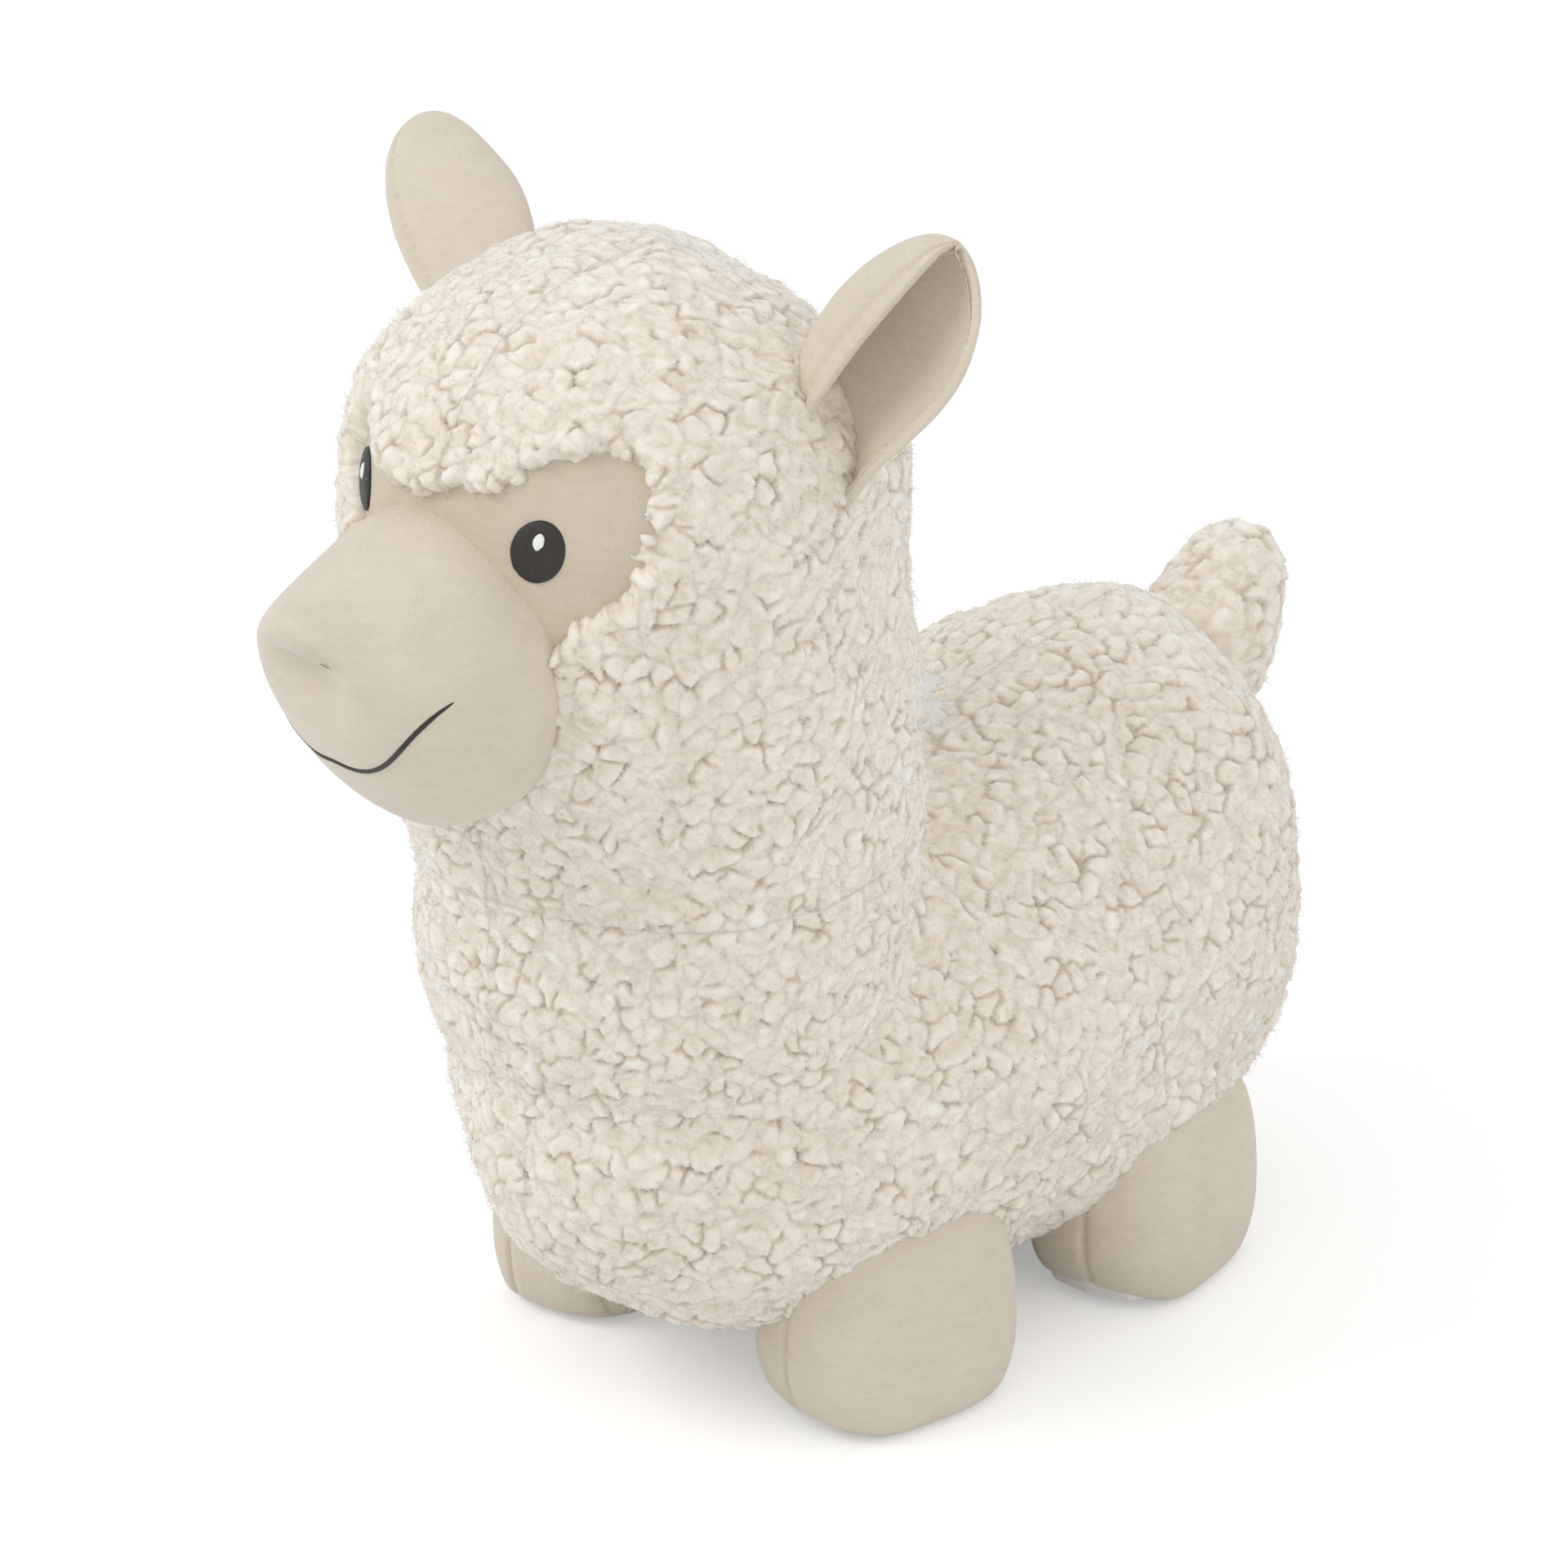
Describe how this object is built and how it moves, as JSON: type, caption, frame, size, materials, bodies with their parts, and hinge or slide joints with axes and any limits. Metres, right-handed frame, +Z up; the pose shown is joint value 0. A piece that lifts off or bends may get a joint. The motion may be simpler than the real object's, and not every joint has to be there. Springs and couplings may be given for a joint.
{
  "type": "plush dog toy",
  "caption": "Stuffed curly-fleece alpaca toy with a smooth velour face and muzzle, cupped ears, short velour feet, a tail tuft and a bellows squeaker inside the belly.",
  "frame": {"origin": "on the floor, under the middle of the bounding box", "axes": "+X towards the toy's left side, -Y the way it faces, +Z up"},
  "size_m": [0.1771, 0.3093, 0.2974],
  "materials": {
    "fleece": "curly fleece, cream",
    "velour": "short-pile velour, beige",
    "fibre": "loose polyester fibre, white",
    "dark_thread": "satin embroidery, black-brown",
    "white_thread": "satin embroidery, white",
    "squeaker": "moulded, off-white"
  },
  "bodies": {
    "torso": {"torso_cover_left": "fleece", "torso_cover_right": "fleece", "torso_filling_front": "fibre", "torso_filling_rear": "fibre", "squeaker_base": "squeaker", "squeaker_reed": "squeaker", "squeaker_bellows": "squeaker"},
    "head": {"head_cover_left": "fleece", "head_cover_right": "fleece", "head_filling": "fibre", "face_panel": "velour", "eye_left": "dark_thread", "eye_right": "dark_thread", "eye_glint_left": "white_thread", "eye_glint_right": "white_thread", "muzzle_cover": "velour", "muzzle_filling": "fibre", "mouth_stitch": "dark_thread"},
    "ear_left": {"ear_back_left": "velour", "ear_lining_left": "velour"},
    "ear_right": {"ear_back_right": "velour", "ear_lining_right": "velour"},
    "tail": {"tail_cover": "fleece", "tail_filling": "fibre"},
    "squeaker_top": {"squeaker_cap": "squeaker"},
    "foot_front_left": {"foot_front_left_outer": "velour", "foot_front_left_inner": "velour", "foot_front_left_gusset": "velour", "foot_front_left_filling": "fibre"},
    "foot_rear_left": {"foot_rear_left_outer": "velour", "foot_rear_left_inner": "velour", "foot_rear_left_gusset": "velour", "foot_rear_left_filling": "fibre"},
    "foot_front_right": {"foot_front_right_outer": "velour", "foot_front_right_inner": "velour", "foot_front_right_gusset": "velour", "foot_front_right_filling": "fibre"},
    "foot_rear_right": {"foot_rear_right_outer": "velour", "foot_rear_right_inner": "velour", "foot_rear_right_gusset": "velour", "foot_rear_right_filling": "fibre"}
  },
  "joints": [
    {"name": "neck_nod", "type": "hinge", "parent": "torso", "child": "head", "pos_m": [0.0064, -0.048, 0.121], "axis": [1, 0, 0], "range_deg": [-8, 8], "stiffness_Nm_per_rad": 1.2},
    {"name": "ear_flop_left", "type": "hinge", "parent": "head", "child": "ear_left", "pos_m": [0.05635, -0.04901, 0.25192], "axis": [0.9135, -0.1257, -0.3868], "range_deg": [-30, 20], "stiffness_Nm_per_rad": 0.01},
    {"name": "ear_flop_right", "type": "hinge", "parent": "head", "child": "ear_right", "pos_m": [-0.04355, -0.04901, 0.25192], "axis": [0.5592, 0.4145, 0.718], "range_deg": [-30, 20], "stiffness_Nm_per_rad": 0.01},
    {"name": "tail_flip", "type": "hinge", "parent": "torso", "child": "tail", "pos_m": [0.0064, 0.123, 0.112], "axis": [1, 0, 0], "range_deg": [-15, 15], "stiffness_Nm_per_rad": 0.02},
    {"name": "foot_tilt_front_left", "type": "hinge", "parent": "torso", "child": "foot_front_left", "pos_m": [0.0474, -0.02, 0.034], "axis": [1, 0, 0], "range_deg": [-9, 9], "stiffness_Nm_per_rad": 0.3},
    {"name": "foot_tilt_rear_left", "type": "hinge", "parent": "torso", "child": "foot_rear_left", "pos_m": [0.0474, 0.066, 0.034], "axis": [1, 0, 0], "range_deg": [-9, 9], "stiffness_Nm_per_rad": 0.3},
    {"name": "foot_tilt_front_right", "type": "hinge", "parent": "torso", "child": "foot_front_right", "pos_m": [-0.0346, -0.02, 0.034], "axis": [1, 0, 0], "range_deg": [-9, 9], "stiffness_Nm_per_rad": 0.3},
    {"name": "foot_tilt_rear_right", "type": "hinge", "parent": "torso", "child": "foot_rear_right", "pos_m": [-0.0346, 0.066, 0.034], "axis": [1, 0, 0], "range_deg": [-9, 9], "stiffness_Nm_per_rad": 0.3},
    {"name": "squeaker_squeeze", "type": "slide", "parent": "torso", "child": "squeaker_top", "axis": [0, 0, -1], "range_m": [0, 0.008], "stiffness_N_per_m": 300, "deforming": ["squeaker_bellows"]}
  ]
}
